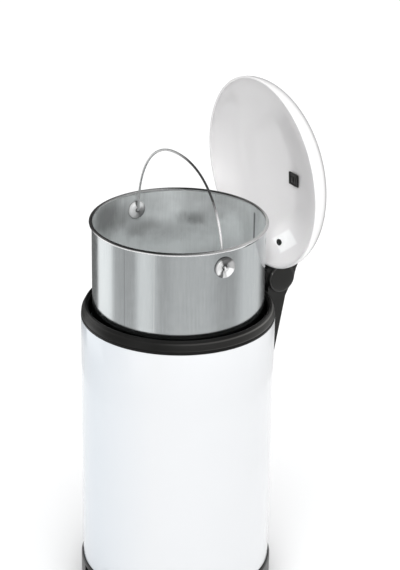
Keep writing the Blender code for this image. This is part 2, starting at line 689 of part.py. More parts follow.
def ears(lift):
    """Outside each ear is a dished boss round the wire's curled end, inside it a flat boss."""
    bore = WIRE_R + 0.0006
    outer = [
        (EAR_R - 0.0040, 0.0038), (EAR_R - 0.0014, 0.0034), (EAR_R, 0.0012), (EAR_R, 0.0),
        (bore, 0.0), (bore, 0.0006), (EAR_R - 0.0068, 0.0006), (EAR_R - 0.0054, 0.0030),
    ]
    inner = [
        (EAR_IN_R - 0.0056, 0.0026), (EAR_IN_R - 0.0020, 0.0020), (EAR_IN_R, 0.0006), (EAR_IN_R, 0.0),
        (bore, 0.0), (bore, 0.0026),
    ]
    for side, name in ((-1, "left"), (1, "right")):
        quarter = side * pi / 2
        out = Matrix.Translation((side * (BUCKET_R + GAP), 0, -EAR_DROP)) @ Matrix.Rotation(quarter, 4, "Y")
        piece(f"ear_outer_{name}", turned_mesh(outer, SMALL_STEPS, True, out), BRIGHT, lift)
        back = Matrix.Translation((side * EAR_IN_X, 0, -EAR_DROP)) @ Matrix.Rotation(-quarter, 4, "Y")
        piece(f"ear_inner_{name}", turned_mesh(inner, SMALL_STEPS, True, back), BRIGHT, lift)


def bail_route():
    """Half the bail, from its curled end to its crown, as (x, z) from the ears' axis."""
    curl_x, curl_r = 0.1317, 0.0020
    half = [(curl_x, -0.0050), (curl_x, -0.0030), (curl_x, -curl_r)]
    half += arc((curl_x - curl_r, -curl_r), curl_r, 0, 90, 5)[1:]
    leg_r = 0.0030
    half += arc((BAIL_W + leg_r, leg_r), leg_r, 270, 180, 5)
    count = 18
    for k in range(1, count):
        t = pi / 2 * k / (count - 1)
        z = BAIL_H * sin(t) ** BAIL_POWER
        x = BAIL_W * cos(t) ** BAIL_POWER if k < count - 1 else 0.0
        if z > leg_r + 0.003:
            half.append((x, z))
    return half


def bail_wire(pivot):
    half = bail_route()
    route = [(x, 0.0, z) for x, z in half]
    route += [(-x, 0.0, z) for x, z in half[-2::-1]]
    piece("bail_wire", wire_mesh(route, WIRE_R), BRIGHT, pivot)


def build():
    base_ring()
    base_plate()
    bucket_seat()
    body_shell()
    top_collar()
    hinge_bracket()
    bracket_screws()
    hinge_pin()
    hinge_caps()
    hinge = empty("lid_hinge_axis", (0, HINGE_Y, HINGE_Z), -LID_OPEN)
    lid_shell(hinge)
    lid_arm(hinge)
    lid_screw(hinge)
    lid_clip(hinge)
    lift_rod()
    rod_guides()
    pedal_axis = empty("pedal_axis", (0, PIVOT_Y, PIVOT_Z), PEDAL_SWING / 2)
    pedal_lever(pedal_axis)
    pedal_pad(pedal_axis)
    pedal_pivot()
    lift = empty("bucket_lift_axis", (0, 0, RIM_TOP))
    bucket_shell(lift)
    bucket_rim(lift)
    bucket_bottom(lift)
    ears(lift)
    bail_axis = empty("bail_axis", (0, 0, RIM_TOP - EAR_DROP), 0.0, lift)
    bail_wire(bail_axis)


clear_scene()
parts = collection("pedal_trash_can")
cutters = collection("cutters")
build()
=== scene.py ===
# The looks of a pedal trash can with a lift-out steel bucket, built round its working frame.
import json
from math import atan2, cos, degrees, pi, radians, sin, sqrt

import bmesh
import bpy
from mathutils import Matrix, Vector

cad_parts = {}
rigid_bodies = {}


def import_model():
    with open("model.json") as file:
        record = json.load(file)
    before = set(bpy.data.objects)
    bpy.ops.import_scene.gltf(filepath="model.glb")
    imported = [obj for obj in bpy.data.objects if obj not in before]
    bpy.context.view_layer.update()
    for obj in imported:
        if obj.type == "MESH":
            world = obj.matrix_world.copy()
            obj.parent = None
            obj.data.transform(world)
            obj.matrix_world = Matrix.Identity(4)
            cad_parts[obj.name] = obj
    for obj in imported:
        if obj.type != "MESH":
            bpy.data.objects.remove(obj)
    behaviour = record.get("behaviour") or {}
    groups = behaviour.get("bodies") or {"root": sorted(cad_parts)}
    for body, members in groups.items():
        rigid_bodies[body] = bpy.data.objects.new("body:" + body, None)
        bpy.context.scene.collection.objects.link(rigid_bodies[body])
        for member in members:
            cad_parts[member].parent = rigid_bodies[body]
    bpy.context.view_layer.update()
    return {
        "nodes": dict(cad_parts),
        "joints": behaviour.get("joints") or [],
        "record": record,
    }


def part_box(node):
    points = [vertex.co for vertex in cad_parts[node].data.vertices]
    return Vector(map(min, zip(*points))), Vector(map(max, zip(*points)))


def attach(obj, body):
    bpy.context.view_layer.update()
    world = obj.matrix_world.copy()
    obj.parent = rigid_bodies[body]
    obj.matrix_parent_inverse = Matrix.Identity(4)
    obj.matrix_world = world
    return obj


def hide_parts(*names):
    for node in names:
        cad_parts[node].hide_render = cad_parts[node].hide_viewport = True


for leftover in list(bpy.data.objects):
    bpy.data.objects.remove(leftover, do_unlink=True)
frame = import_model()
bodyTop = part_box("body_shell")[1].z
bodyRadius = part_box("body_shell")[1].x
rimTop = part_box("bucket_rim")[1].z
bucketEars = 0.029  # how far the ears' middles are under the bucket's rim
lidPlane = 0.015  # how far the closed lid's edge is over the body
gap = 0.0003  # clearance between parts that fit together
jointPlaces = {joint["name"]: Vector(joint.get("pos_m", (0, 0, 0))) for joint in frame["joints"]}
jointRanges = {joint["name"]: joint.get("range_deg") for joint in frame["joints"]}
print("frame loaded:", len(frame["nodes"]), "nodes")


# a socket that can be added, multiplied and compared like a number
class Link:
    def __init__(self, finish, socket):
        self.finish = finish
        self.socket = socket

    def maths(self, operation, first, second=0.0):
        return self.finish.node("Math", {"operation": operation}, {0: first, 1: second})

    def __add__(self, other):
        return self.maths("ADD", self, other)

    __radd__ = __add__

    def __mul__(self, other):
        return self.maths("MULTIPLY", self, other)

    __rmul__ = __mul__

    def __sub__(self, other):
        return self.maths("SUBTRACT", self, other)

    def __rsub__(self, other):
        return self.maths("SUBTRACT", other, self)

    def __truediv__(self, other):
        return self.maths("DIVIDE", self, other)

    def __pow__(self, other):
        return self.maths("POWER", self, other)

    def __abs__(self):
        return self.maths("ABSOLUTE", self)

    def below(self, other):
        return self.maths("MINIMUM", self, other)

    def above(self, other):
        return self.maths("MAXIMUM", self, other)


class Finish:
    def __init__(self, name, constants):
        self.material = bpy.data.materials.new(name)
        self.material.use_nodes = True
        self.tree = self.material.node_tree
        self.shader = self.tree.nodes["Principled BSDF"]
        for socket, value in constants.items():
            self.shader.inputs[socket].default_value = value

    # a node of any type: its settings come first, then the values or links of its sockets
    def node(self, kind, settings, sockets, output=0):
        made = self.tree.nodes.new("ShaderNode" + kind)
        for name, value in settings.items():
            if name == "stops":
                ramp = made.color_ramp
                while len(ramp.elements) < len(value):
                    ramp.elements.new(0.5)
                for stop, (place, colour) in zip(ramp.elements, value):
                    stop.position = place
                    stop.color = colour
            else:
                setattr(made, name, value)
        for name, value in sockets.items():
            self.plug(made.inputs[name], value)
        return Link(self, made.outputs[output])

    def plug(self, socket, value):
        if isinstance(value, Link):
            self.tree.links.new(value.socket, socket)
        else:
            socket.default_value = value

    def set(self, socket, value):
        self.plug(self.shader.inputs[socket], value)

    def place(self):
        return self.node("TexCoord", {}, {}, "Object")

    # a place on the open lid, as it would be with the lid closed and its edge's middle at the origin
    def onLid(self, vector):
        turn = radians(jointRanges["lid_hinge"][1])
        hinge = jointPlaces["lid_hinge"]
        x, y, z = self.split(vector)
        level = (y - hinge.y) * cos(turn) - (z - hinge.z) * sin(turn) + hinge.y
        high = (y - hinge.y) * sin(turn) + (z - hinge.z) * cos(turn) + (hinge.z - bodyTop - lidPlane)
        return self.join(x, level, high)

    def split(self, vector):
        return [self.node("SeparateXYZ", {}, {0: vector}, axis) for axis in range(3)]

    def join(self, x, y, z):
        return self.node("CombineXYZ", {}, {0: x, 1: y, 2: z})

    # the angle in radians of a direction, from -pi to pi
    def angle(self, up, across):
        return self.node("Math", {"operation": "ARCTAN2"}, {0: up, 1: across})

    # a tone that is read from a table of (place, tone), with places from 0 to 1
    def tones(self, place, table):
        return self.node("ValToRGB", {"stops": [(at, grey(tone)) for at, tone in table]}, {0: place})

    # the same for a table of (turn in degrees, tone) and an angle in radians
    def tonesRound(self, angle, table):
        return self.tones(angle / (2 * pi) + 0.5, [((turn + 180.0) / 360.0, tone) for turn, tone in table])

    def noise(self, vector, scale, detail, roughness=0.5):
        return self.node("TexNoise", {}, {"Vector": vector, "Scale": scale, "Detail": detail,
                                          "Roughness": roughness})

    def blend(self, share, first, second):
        return self.node("Mix", {"data_type": "RGBA"}, {0: share, 6: first, 7: second}, 2)

    def clamp(self, value):
        return value.above(0.0).below(1.0)

    def bump(self, height, distance, strength):
        return self.node("Bump", {}, {"Height": height, "Distance": distance, "Strength": strength})


def grey(value, tint=(1.0, 1.0, 1.0)):
    return (value * tint[0], value * tint[1], value * tint[2], 1.0)


enamel = {"body": (0.815, 0.825, 0.84), "lid": (0.836, 0.824, 0.826), "shade": 0.975, "roughness": 0.13,
          "drift": 7.0, "wiped": 31.0, "peel": 260.0, "peelDepth": 0.00003,
          "paintedShade": (0.74, 0.785, 0.83, 1.0), "paintedShadeFrom": -44.0, "paintedShadeOver": 44.0, "paintedShadeBack": -178.0,
          "highlightAt": (0.0095, 0.1167), "highlightLong": (0.0339, -0.0070), "highlightWide": (0.0038, 0.0181),
          "highlightTone": 0.97, "highlightUnder": 0.060}


# gloss enamel: the body's left side is painted a cooler, darker tint as painted shade, and a lighter diamond
# painted round the seat of the lid's screw is a painted highlight
def enamelFinish(name):
    finish = Finish("white_enamel_" + name, {"IOR": 1.5, "Coat Weight": 0.35, "Coat Roughness": 0.04})
    colour = enamel[name]
    where = finish.place()
    drift = finish.noise(where, enamel["drift"], 2.0)
    base = finish.blend(drift, grey(1.0, colour), grey(enamel["shade"], colour))
    if name == "body":
        # painted shade: a cooler, darker tint is painted over the body's left side
        x, y, z = finish.split(where)
        turn = finish.angle(y, x) * (180.0 / pi)
        side = finish.clamp((enamel["paintedShadeFrom"] - turn) * (1.0 / enamel["paintedShadeOver"]))
        side = side * finish.clamp((turn - enamel["paintedShadeBack"]) * 0.02)
        finish.set("Base Color", finish.blend(side, base, enamel["paintedShade"]))
    else:
        # painted highlight: a lighter diamond is painted round the seat of the lid's screw
        x, y, z = finish.split(finish.onLid(where))
        along, over = enamel["highlightLong"], enamel["highlightWide"]
        left, back = x - enamel["highlightAt"][0], y - enamel["highlightAt"][1]
        area = along[0] * over[1] - along[1] * over[0]
        first = abs(left * (over[1] / area) - back * (over[0] / area))
        second = abs(back * (along[0] / area) - left * (along[1] / area))
        paintedHighlight = finish.clamp((1.0 - (first + second)) * 5.0) * finish.clamp((enamel["highlightUnder"] - z) * 60.0)
        finish.set("Base Color", finish.blend(paintedHighlight, base, grey(enamel["highlightTone"])))
    wiped = finish.noise(where, enamel["wiped"], 5.0)
    finish.set("Roughness", wiped * 0.10 + (enamel["roughness"] - 0.05))
    peel = finish.noise(where, enamel["peel"], 1.0)
    finish.set("Normal", finish.bump(peel, enamel["peelDepth"], 0.35))
    return finish.material


plastic = {"colour": (0.0085, 0.0085, 0.0080, 1.0), "worn": (0.015, 0.015, 0.0140, 1.0), "ior": 1.46,
           "roughness": 0.33, "drift": 46.0, "grain": 1900.0, "grainDepth": 0.00006}


# the satin of every black moulding: gloss that drifts, over a fine grain
def satin(finish, where):
    drift = finish.noise(where, plastic["drift"], 4.0)
    finish.set("Roughness", drift * 0.14 + (plastic["roughness"] - 0.07))
    grain = finish.noise(where, plastic["grain"], 2.0)
    finish.set("Normal", finish.bump(grain, plastic["grainDepth"], 0.45))
    return drift


def plasticFinish():
    finish = Finish("black_moulded_plastic", {"IOR": plastic["ior"], "Specular IOR Level": 0.42})
    drift = satin(finish, finish.place())
    finish.set("Base Color", finish.blend(drift * drift, plastic["colour"], plastic["worn"]))
    return finish.material


# painted highlights and shade: tones by distance from the hinge
hingeRingHighlights = {"out": [(0.0, 0.10), (0.0185, 0.16), (0.0196, 0.30), (0.0206, 1.0), (0.0214, 0.45),
                      (0.0222, 0.0), (0.0236, 0.0), (0.0244, 0.18), (0.0400, 0.10)], "wide": 0.0400,
              "dark": (0.0060, 0.0060, 0.0055, 1.0), "light": (0.050, 0.049, 0.047, 1.0)}


# covers, arm and bracket share fine light and dark rings painted round the hinge, as painted highlights and
# shade on the caps' groove and edge
def hingeFinish():
    finish = Finish("black_hinge_plastic_painted_highlights", {"IOR": plastic["ior"], "Specular IOR Level": 0.38})
    where = finish.place()
    x, y, z = finish.split(where)
    hinge = jointPlaces["lid_hinge"]
    aside, above = y - hinge.y, z - hinge.z
    wide = hingeRingHighlights["wide"]
    out = (aside * aside + above * above) ** 0.5 * (1.0 / wide)
    # painted highlights and shade: light and dark rings painted by distance from the hinge
    rings = finish.tones(out, [(reach / wide, tone) for reach, tone in hingeRingHighlights["out"]])
    drift = satin(finish, where)
    tone = finish.clamp(finish.split(rings)[0] + (drift - 0.5) * 0.10)
    finish.set("Base Color", finish.blend(tone, hingeRingHighlights["dark"], hingeRingHighlights["light"]))
    return finish.material


# painted highlights on the collar's bevels: how light each height is painted, and how much of it shows round
# the ring
collarHighlights = {"heights": [(0.0, 0.0), (0.0036, 0.0), (0.0048, 0.0), (0.0056, 0.95), (0.0064, 0.22),
                           (0.0138, 0.18), (0.0148, 0.80), (0.0157, 0.70), (0.0164, 0.03), (0.0200, 0.0)],
               "turns": [(-180, 0.20), (-140, 0.40), (-108, 0.25), (-80, 0.04), (-44, 0.02), (-26, 0.22),
                         (-6, 0.34), (14, 0.55), (34, 1.0), (70, 1.0), (100, 0.30), (180, 0.20)],
               "tall": 0.0220, "from": 0.1385, "dark": (0.0050, 0.0050, 0.0046, 1.0),
               "light": (0.150, 0.147, 0.140, 1.0)}


def collarFinish():
    finish = Finish("black_collar_plastic_painted_highlights", {"IOR": plastic["ior"], "Specular IOR Level": 0.24})
    where = finish.place()
    x, y, z = finish.split(where)
    tall = collarHighlights["tall"]
    heights = [(height / tall, tone) for height, tone in collarHighlights["heights"]]
    # painted highlights: light lines painted at the bevels' heights, brighter on the ring's right
    bevelHighlights = finish.tones((z - bodyTop) * (1.0 / tall), heights)
    around = finish.tonesRound(finish.angle(y, x), collarHighlights["turns"])
    outside = finish.clamp(((x * x + y * y) ** 0.5 - collarHighlights["from"]) * 1500.0)
    tone = finish.split(bevelHighlights)[0] * finish.split(around)[0] * outside
    finish.set("Base Color", finish.blend(tone, collarHighlights["dark"], collarHighlights["light"]))
    satin(finish, where)
    return finish.material


rubber = {"colour": (0.018, 0.018, 0.018, 1.0), "dusty": (0.05, 0.049, 0.047, 1.0), "roughness": 0.78,
          "dust": 85.0, "pits": 1500.0, "pitDepth": 0.0001}


def rubberFinish():
    finish = Finish("pedal_rubber_matt", {"IOR": 1.5, "Specular IOR Level": 0.3})
    where = finish.place()
    dust = finish.noise(where, rubber["dust"], 6.0, 0.65)
    finish.set("Base Color", finish.blend(dust * dust, rubber["colour"], rubber["dusty"]))
    finish.set("Roughness", dust * 0.15 + (rubber["roughness"] - 0.07))
    pits = finish.noise(where, rubber["pits"], 2.0)
    finish.set("Normal", finish.bump(pits, rubber["pitDepth"], 0.6))
    return finish.material


# painted creases, as painted highlight and shade: (turn, half width, share), with the first two in degrees,
# and a share below nought darkens
zinc = {"light": (0.66, 0.69, 0.695, 1.0), "dark": (0.56, 0.59, 0.60, 1.0), "roughness": 0.19,
        "streaks": 46.0, "fine": 210.0, "crystals": 95.0,
        "paintedCreases": ((-67.8, 0.34, -0.5), (-46.3, 0.30, 0.5)),
        "creaseHighlight": grey(0.9), "creaseShade": grey(0.12, (0.9, 1.0, 1.05)),
        "footHigh": 0.034, "footPaintedLight": grey(0.93, (0.96, 1.0, 1.0)),
        "slit": (14.0, 34.0), "slitUnder": 0.0078}


# angle round the can's axis, and a coordinate that is drawn out along its height
def roundPlace(finish, stretch):
    x, y, z = finish.split(finish.place())
    angle = finish.angle(y, x)
    radius = (x * x + y * y) ** 0.5
    return angle, finish.join(angle, radius * 0.5, z * stretch)


# galvanised sheet as rolled: fine upright streaks, faint crystals, a few soft creases painted as light and
# shade, a smoother foot over the collar that is painted lighter as painted light, and a painted shadow in the
# slit where the bead's end stands off
def zincFinish():
    finish = Finish("galvanised_sheet", {"Metallic": 1.0})
    angle, drawn = roundPlace(finish, 0.35)
    streaks = finish.noise(drawn, zinc["streaks"], 4.0, 0.6)
    fine = finish.noise(drawn, zinc["fine"], 3.0, 0.6)
    crystals = finish.node("TexVoronoi", {}, {"Vector": finish.place(), "Scale": zinc["crystals"]}, "Color")
    crystal = finish.split(crystals)[0]
    tone = finish.clamp(streaks * 1.1 + fine * 0.35 + crystal * 0.10 - 0.28)
    colour = finish.blend(tone, zinc["dark"], zinc["light"])
    # painted highlight and shade: lines painted up the sheet where creases would catch the light
    for middle, width, depth in zinc["paintedCreases"]:
        line = finish.clamp(1.0 - abs(angle - radians(middle)) / radians(width))
        target = zinc["creaseHighlight"] if depth > 0 else zinc["creaseShade"]
        colour = finish.blend(line * abs(depth), colour, target)
    z = finish.split(finish.place())[2]
    # painted light: the sheet just over the collar is painted lighter
    low = finish.clamp((bodyTop + zinc["footHigh"] - z) * 40.0)
    colour = finish.blend(low * 0.45, colour, zinc["footPaintedLight"])
    start, end = zinc["slit"]
    slit = finish.clamp((angle - radians(start)) * 30.0) * finish.clamp((radians(end) - angle) * 30.0)
    slit = slit * finish.clamp((z - (rimTop - zinc["slitUnder"])) * 2000.0)
    finish.set("Base Color", finish.blend(slit * 0.9, colour, grey(0.02)))
    rough = streaks * 0.10 + crystal * 0.03 + (zinc["roughness"] - 0.06)
    finish.set("Roughness", rough * (1.0 - low * 0.6))
    finish.set("Normal", finish.bump(streaks, 0.00002, 0.25))
    return finish.material


lining = {"light": (0.96, 0.995, 0.995, 1.0), "dark": (0.26, 0.265, 0.265, 1.0), "roughness": 0.30,
          "metal": 0.40, "middle": 0.60, "drift": 9.0, "mottle": 30.0, "streaks": 60.0,
          "seamLine": 87.0, "seamHalf": 0.9, "seamUnder": 0.011}
# lighter and darker clouds: (turn, depth under the rim, reach round, reach down, lighter or darker)
clouds = [(141, 0.047, 13, 0.012, -0.34), (158, 0.042, 13, 0.024, 0.20), (173, 0.061, 18, 0.016, -0.30),
          (135, 0.086, 34, 0.016, 0.26), (111, 0.056, 13, 0.028, 0.34), (209, 0.025, 24, 0.038, -0.56),
          (192, 0.066, 9, 0.012, 0.12), (203, 0.088, 34, 0.020, 0.42), (122, 0.010, 24, 0.018, -0.16),
          (160, 0.104, 34, 0.020, 0.34), (126, 0.034, 12, 0.014, -0.18), (185, 0.034, 13, 0.020, -0.16),
          (84, 0.018, 7, 0.030, -0.12), (127, 0.068, 14, 0.014, 0.16)]


# the bucket's inside: duller, with clouds and a dark line beside the seam
def liningFinish():
    finish = Finish("galvanised_inside", {"IOR": 1.6})
    where = finish.place()
    angle, drawn = roundPlace(finish, 3.0)
    drift = finish.noise(drawn, lining["drift"], 4.0, 0.6)
    mottle = finish.noise(where, lining["mottle"], 5.0, 0.6)
    streaks = finish.noise(roundPlace(finish, 0.4)[1], lining["streaks"], 3.0, 0.6)
    behind = finish.node("Math", {"operation": "LESS_THAN"}, {0: angle, 1: 0.0})
    whole = angle + behind * (2 * pi)
    wanderedTurn = whole + (drift - 0.5) * 0.30
    under = rimTop - finish.split(where)[2]
    wanderedDepth = under + (mottle - 0.5) * 0.022
    tone = streaks * 0.24 + (mottle - 0.5) * 0.30 + (lining["middle"] - 0.12)
    for turn, depth, across, down, amount in clouds:
        away = ((wanderedTurn - radians(turn)) * (0.8 / radians(across))) ** 2.0
        away = away + ((wanderedDepth - depth) * (0.8 / down)) ** 2.0
        near = (1.0 - away).above(0.0)
        tone = tone + near * near * (amount * 1.2)
    seam = finish.clamp(1.6 - abs(whole - radians(lining["seamLine"])) * (1.0 / radians(lining["seamHalf"])))
    seam = seam * finish.clamp((under - lining["seamUnder"]) * 400.0)
    colour = finish.blend(finish.clamp(tone), lining["dark"], lining["light"])
    finish.set("Base Color", finish.blend(seam * 0.85, colour, grey(0.03)))
    finish.set("Metallic", lining["metal"] - mottle * 0.2 + 0.1)
    finish.set("Roughness", mottle * 0.22 + streaks * 0.08 + (lining["roughness"] - 0.13))
    finish.set("Normal", finish.bump(mottle, 0.0004, 0.25))
    return finish.material


bright = {"light": (0.80, 0.80, 0.79, 1.0), "dark": (0.55, 0.55, 0.55, 1.0), "roughness": 0.10,
          "smears": 120.0, "marks": 900.0, "markDepth": 0.00003}


def brightFinish():
    finish = Finish("bright_plated_steel", {"Metallic": 1.0})
    where = finish.place()
    smears = finish.noise(where, bright["smears"], 5.0, 0.6)
    finish.set("Base Color", finish.blend(smears, bright["dark"], bright["light"]))
    finish.set("Roughness", smears * 0.12 + (bright["roughness"] - 0.04))
    marks = finish.noise(where, bright["marks"], 2.0)
    finish.set("Normal", finish.bump(marks, bright["markDepth"], 0.3))
    return finish.material


# turns are (degrees round the rim, how dark the crown is painted there)
bead = {"crown": 0.0022, "dark": 0.045, "light": 0.95, "smears": 40.0,
        "turns": [(-180, 0.40), (-150, 0.65), (-124, 0.95), (-44, 1.0), (-18, 0.80), (0, 0.35), (60, 0.30),
                  (88, 0.90), (144, 1.0), (166, 0.55), (180, 0.40)]}


# painted reflection: the bead's crown is painted dark, as the dark over it would be mirrored, and its sides
# painted light, as the light round it would be
def beadFinish():
    finish = Finish("bead_painted_reflection", {"Metallic": 0.85, "Roughness": 0.16})
    where = finish.place()
    x, y, z = finish.split(where)
    around = finish.tonesRound(finish.angle(y, x), bead["turns"])
    # painted reflection: the crown is painted darker by turn round the rim
    crown = finish.clamp((z - (rimTop - bead["crown"])) * 2200.0 + 0.5) * finish.split(around)[0]
    smears = finish.noise(where, bead["smears"], 5.0, 0.6)
    light = finish.blend(smears, grey(bead["light"]), grey(bead["light"] * 0.75))
    finish.set("Base Color", finish.blend(crown, light, grey(bead["dark"])))
    return finish.material


# turns are (degrees from the right ear over the crown to the left one, painted tone)
wire = {"turns": [(0, 1.0), (30, 1.0), (38, 0.25), (44, 0.015), (76, 0.015), (88, 0.28), (104, 0.55),
                  (128, 0.72), (150, 0.75), (180, 0.80)]}


# the bail's plating, with painted reflections: its tone is painted to change along the wire as it turns from
# one card's reflection to the next
def wireFinish():
    finish = Finish("wire_painted_reflection", {"Metallic": 0.65, "Roughness": 0.16})
    where = finish.place()
    x, y, z = finish.split(where)
    turn = finish.angle(z - (rimTop - bucketEars), x)
    # painted reflection: tones painted along the wire by its turn
    colour = finish.tones(turn / pi, [(place / 180.0, tone) for place, tone in wire["turns"]])
    smears = finish.noise(where, bright["smears"], 5.0, 0.6)
    finish.set("Base Color", finish.blend(smears * 0.25, colour, grey(0.35)))
    return finish.material


# each boss's painted reflections: tones by turn round its own middle, in degrees, and tones by reach from its
# middle
bossReflections = {
    "outer": {"round": [(-180, 0.85), (-146, 0.95), (-134, 0.12), (-116, 0.10), (-104, 0.85), (-88, 0.55),
                        (-74, 1.0), (-18, 1.0), (-6, 0.45), (36, 0.38), (54, 0.06), (116, 0.06),
                        (134, 0.80), (180, 0.85)],
              "out": [(0.0, 1.0), (0.11, 1.0), (0.16, 0.04), (0.26, 0.04), (0.32, 0.90), (0.40, 0.55),
                      (0.50, 1.0), (0.86, 1.0), (0.94, 0.80), (1.0, 0.35)], "reach": 0.0160, "metal": 0.40},
    "inner": {"round": [(-180, 1.0), (-120, 0.90), (-96, 0.55), (-60, 0.20), (-20, 0.25), (10, 0.45),
                        (40, 1.0), (72, 1.0), (84, 0.12), (98, 0.12), (108, 1.0), (180, 1.0)],
              "out": [(0.0, 0.40), (0.12, 0.30), (0.20, 0.10), (0.30, 0.85), (0.70, 1.0), (0.88, 0.90),
                      (1.0, 0.35)], "reach": 0.0146, "metal": 0.30},
}


def bossFinish(name):
    boss = bossReflections[name]
    finish = Finish("plated_boss_" + name, {"Roughness": 0.16})
    where = finish.place()
    x, y, z = finish.split(where)
    up = z - (rimTop - bucketEars)
    wobble = finish.noise(where, 260.0, 3.0, 0.6) - 0.5
    # painted reflections: light and dark painted by turn and by reach round the boss
    around = finish.tonesRound(finish.angle(up, y) + wobble * 0.5, boss["round"])
    rings = finish.tones((up * up + y * y) ** 0.5 * (1.0 / boss["reach"]) + wobble * 0.08, boss["out"])
    tone = finish.split(around)[0] * finish.split(rings)[0]
    finish.set("Base Color", finish.blend(tone, grey(0.035), grey(0.97)))
    finish.set("Metallic", boss["metal"] + wobble * 0.1)
    return finish.material


finishes = {
    "white_enamel": enamelFinish("body"), "black_plastic": plasticFinish(), "pedal_rubber": rubberFinish(),
    "zinc_steel": zincFinish(), "bright_steel": brightFinish(),
}
# for pieces that look different from the rest of their slot
pieceFinishes = {
    "lid": enamelFinish("lid"), "hinge": hingeFinish(), "collar": collarFinish(), "lining": liningFinish(),
    "bead": beadFinish(), "wire": wireFinish(),
    "outerBoss": bossFinish("outer"), "innerBoss": bossFinish("inner"),
}
slotOf = {entry["node"]: entry["material_slot"] for entry in frame["record"]["subparts"]}
for nodeName, node in frame["nodes"].items():
    node.material_slots[0].material = finishes[slotOf[nodeName]]
print("finishes made:", len(finishes) + len(pieceFinishes))


# an outline whose corners with a third number are rounded by that much
def rounded(points, closed=False, segments=4):
    made = []
    last = len(points) - 1
    for k, point in enumerate(points):
        if len(point) == 2 or (not closed and k in (0, last)):
            made.append((point[0], point[1]))
            continue
        corner = Vector(point[:2])
        before = Vector(points[k - 1][:2]) - corner
        after = Vector(points[(k + 1) % len(points)][:2]) - corner
        start = corner + before.normalized() * point[2]
        end = corner + after.normalized() * point[2]
        for step in range(segments + 1):
            t = step / segments
            here = start * (1 - t) ** 2 + corner * 2 * t * (1 - t) + end * t * t
            made.append((here.x, here.y))
    return made


# turns a shape's own axis to the left or the right (side is -1 or 1), with its middle at a place
def facing(side, x, y, z):
    return Matrix.Translation((x, y, z)) @ Matrix.Rotation(side * pi / 2, 4, "Y")


# an outline of (radius, height) spun round the upright axis
def spun(outline, steps, closed=False, place=None):
    shape = bmesh.new()
    points = [shape.verts.new((r, 0.0, z)) for r, z in outline]
    pairs = list(zip(points, points[1:]))
    if closed:
        pairs.append((points[-1], points[0]))
    edges = [shape.edges.new(pair) for pair in pairs]
    bmesh.ops.spin(shape, geom=points + edges, cent=(0, 0, 0), axis=(0, 0, 1), angle=2 * pi, steps=steps,
                   use_merge=True, use_duplicate=False)
    bmesh.ops.remove_doubles(shape, verts=shape.verts, dist=0.000002)
    bmesh.ops.recalc_face_normals(shape, faces=shape.faces)
    if place:
        bmesh.ops.transform(shape, matrix=place, verts=shape.verts)
    return shape


# makes a piece of a shape: it rides on a body and stands in for working nodes
def keep(shape, name, body, slot, nodes, materials=None, sharp=38.0):
    mesh = bpy.data.meshes.new(name)
    shape.to_mesh(mesh)
    shape.free()
    mesh.shade_smooth()
    mesh.set_sharp_from_angle(angle=radians(sharp))
    for material in materials or [finishes[slot]]:
        mesh.materials.append(material)
    item = bpy.data.objects.new(name, mesh)
    bpy.context.scene.collection.objects.link(item)
    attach(item, body)
    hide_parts(*nodes)
    return item


softEdge = {"segments": 3, "angle": 38.0}


# a working piece's shape with its doubled corners merged and its edges softened
def softened(name, body, node, width, materials=None):
    shape = bmesh.new()
    shape.from_mesh(frame["nodes"][node].data)
    bmesh.ops.remove_doubles(shape, verts=shape.verts, dist=0.00001)
    bmesh.ops.dissolve_limit(shape, angle_limit=radians(1.0), verts=shape.verts, edges=shape.edges)
    item = keep(shape, name, body, slotOf[node], [node], materials, softEdge["angle"])
    edge = item.modifiers.new("soft_edges", "BEVEL")
    edge.width = width
    edge.segments = softEdge["segments"]
    edge.limit_method = "ANGLE"
    edge.angle_limit = radians(softEdge["angle"])
    edge.harden_normals = True


# opens a window through a spun wall: the faces in it go, and its two edges are bridged
def cutWindow(shape, middle, halfAngle, low, high):
    gone = []
    for face in shape.faces:
        at = face.calc_center_median()
        turn = (degrees(atan2(at.y, at.x)) - middle + 180.0) % 360.0 - 180.0
        upright = abs(face.normal.z) < 0.2
        if upright and abs(turn) < halfAngle and low < at.z < high:
            gone.append(face)
    bmesh.ops.delete(shape, geom=gone, context="FACES")
    rims = [edge for edge in shape.edges if edge.is_boundary]
    bmesh.ops.bridge_loops(shape, edges=rims)
    bmesh.ops.recalc_face_normals(shape, faces=shape.faces)


can = {"wall": 0.001, "low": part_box("body_shell")[0].z, "slotLow": 0.098, "slotHigh": 0.052,
       "slotTurn": 90.0, "slotHalf": 2.0, "steps": 180}


# the wall, with a slot at the back where the lift rod comes out
def bodyWall():
    inner = bodyRadius - can["wall"]
    slotRows = [bodyTop - can["slotLow"], bodyTop - can["slotHigh"]]
    outline = [(bodyRadius, bodyTop, 0.0004), (bodyRadius, slotRows[1]), (bodyRadius, slotRows[0]),
               (bodyRadius, can["low"], 0.0004), (inner, can["low"]), (inner, slotRows[0]),
               (inner, slotRows[1]), (inner, bodyTop)]
    shape = spun(rounded(outline, True), can["steps"], True)
    cutWindow(shape, can["slotTurn"], can["slotHalf"], slotRows[0], slotRows[1])
    keep(shape, "bodyWall", "can", "white_enamel", ["body_shell"])


collar = {"inner": 0.1345, "outer": 0.1460, "skirt": 0.1447, "down": 0.012, "up": 0.020, "steps": 200}


